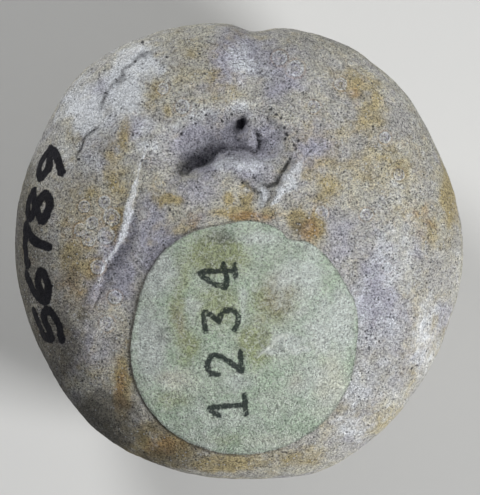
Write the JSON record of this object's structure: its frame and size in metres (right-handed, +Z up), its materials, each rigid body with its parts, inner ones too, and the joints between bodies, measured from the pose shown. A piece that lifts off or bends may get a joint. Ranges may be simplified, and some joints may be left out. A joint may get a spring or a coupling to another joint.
{
  "type": "fossil sea urchin",
  "caption": "Heart-shaped fossil sea urchin, a rounded stone lying on its domed back with its mouth side up and a round paper label glued to it.",
  "frame": {"origin": "middle of the stone's outline in plan, on the surface that it rests on", "axes": "+X across the stone, to the right as seen from above with its notched front away from the viewer; +Y towards the notched front; +Z up, out of the underside that carries the mouth and the label"},
  "size_m": [0.0196, 0.02, 0.0134],
  "materials": {
    "limestone": "matt, pitted, mottled cream and grey with yellow ochre stains",
    "green_paper": "matt, faded pale green with olive stains"
  },
  "bodies": {
    "root": {"fossil_test": "limestone", "paper_label": "green_paper"}
  },
  "joints": []
}
